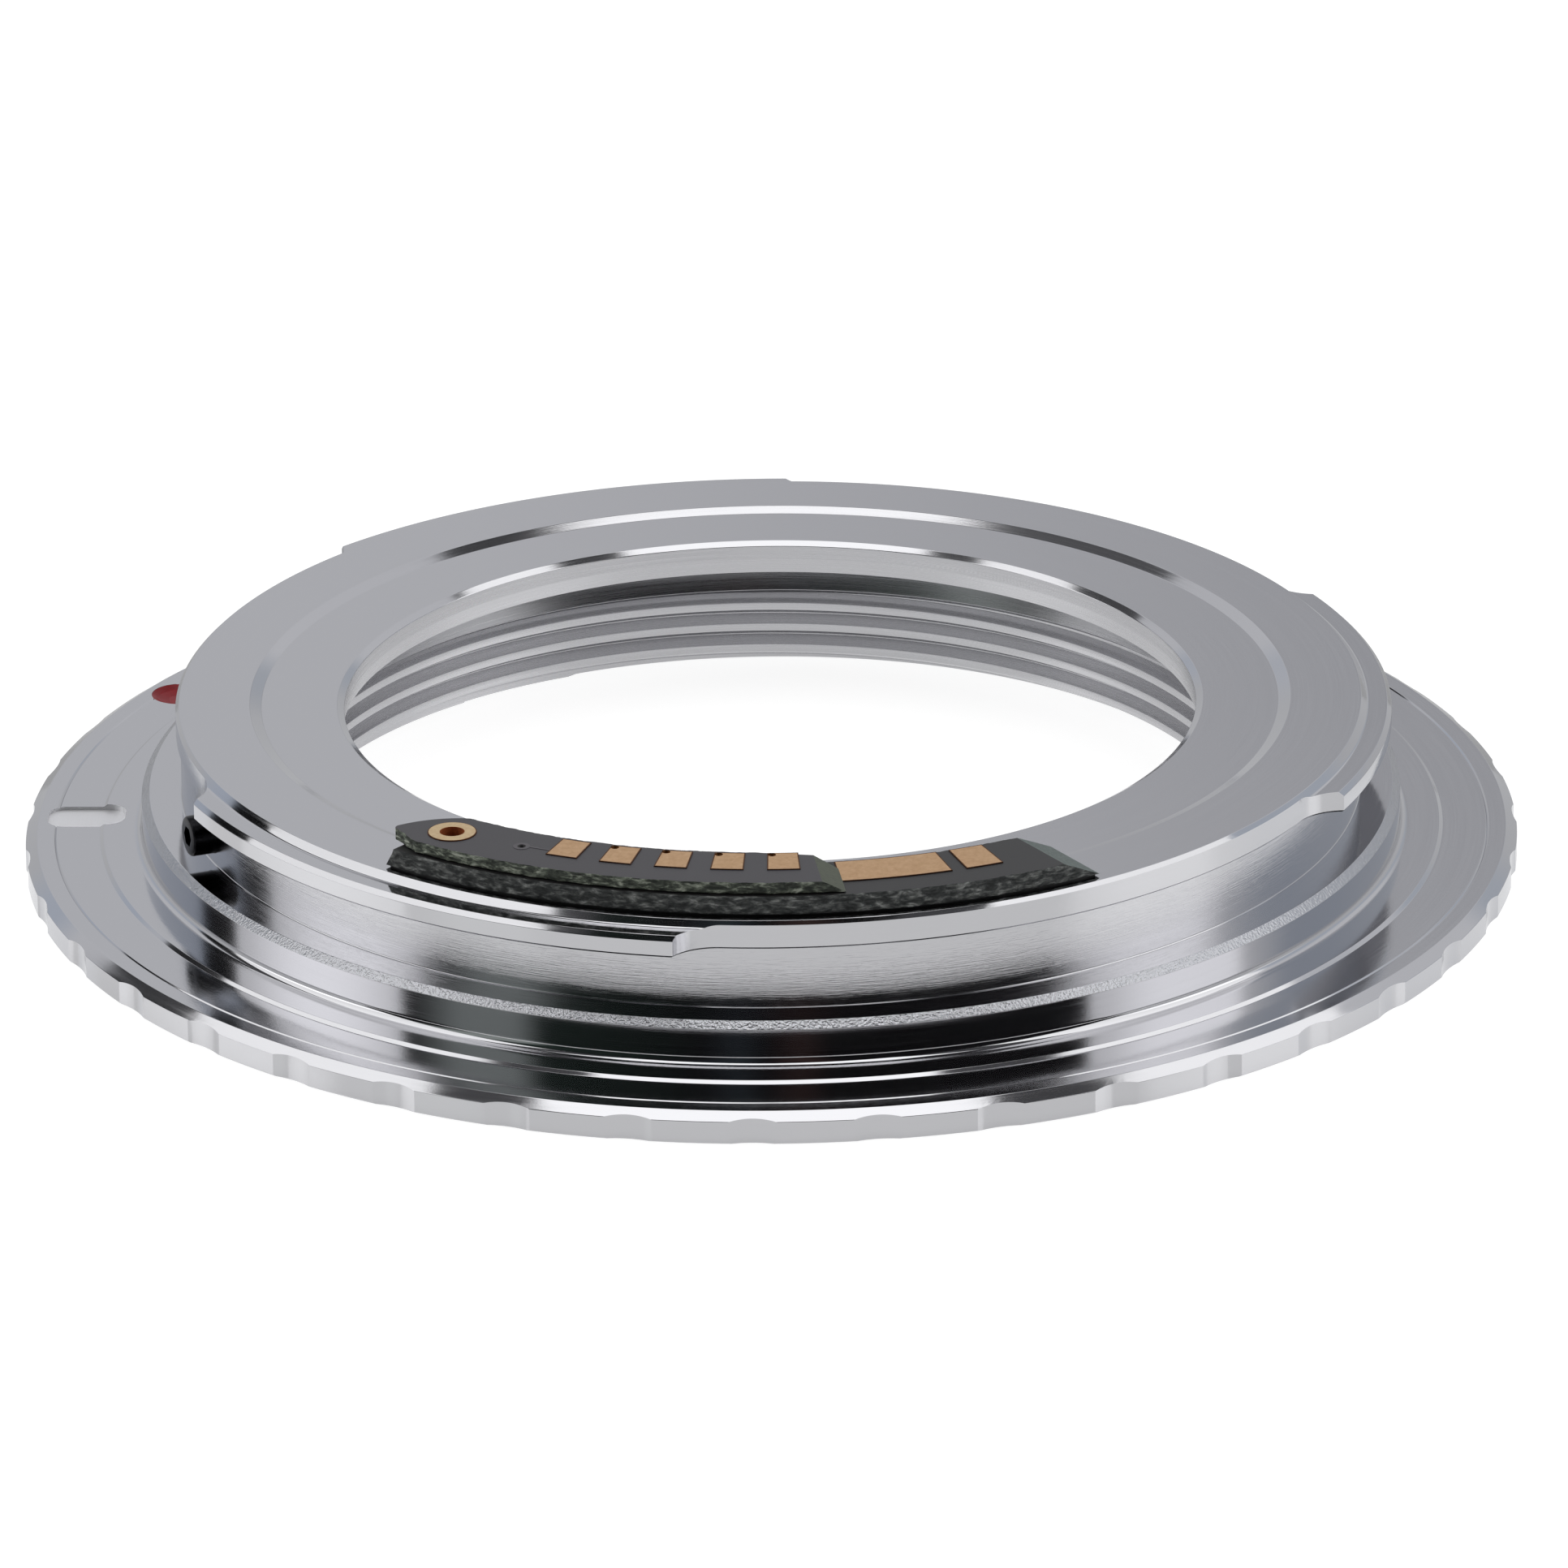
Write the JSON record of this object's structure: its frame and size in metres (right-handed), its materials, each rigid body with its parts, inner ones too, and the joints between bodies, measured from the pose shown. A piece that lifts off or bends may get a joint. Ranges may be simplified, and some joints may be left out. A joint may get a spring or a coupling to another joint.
{
  "type": "lens mount adapter",
  "caption": "Flat plated metal ring that seats a screw-thread lens on a camera with a three-lobe bayonet, with a glued contact board on its camera side.",
  "frame": {"origin": "on the optical axis, in the flat lens-side face that the lens seats against", "axes": "+Z along the optical axis towards the camera, -Y towards the middle of the contact board"},
  "size_m": [0.065, 0.065, 0.0087],
  "materials": {
    "plated_metal": "turned and milled, plated bright",
    "blackened_steel": "black oxide",
    "red_paint": "gloss paint",
    "glue": "dark glue film",
    "board_laminate": "dark solder mask on glass-fibre laminate",
    "chip_resin": "moulded resin",
    "gold_plating": "flash gold on copper"
  },
  "bodies": {
    "root": {"adapter_ring": "plated_metal", "stop_screw": "blackened_steel", "index_dot": "red_paint", "board_adhesive": "glue", "lower_board": "board_laminate", "bond_film": "glue", "controller_chip": "chip_resin", "upper_board": "board_laminate", "eyelet": "gold_plating", "contact_pad_1": "gold_plating", "contact_pad_2": "gold_plating", "contact_pad_3": "gold_plating", "contact_pad_4": "gold_plating", "contact_pad_5": "gold_plating", "wide_contact_pad": "gold_plating", "small_contact_pad": "gold_plating"}
  },
  "joints": []
}
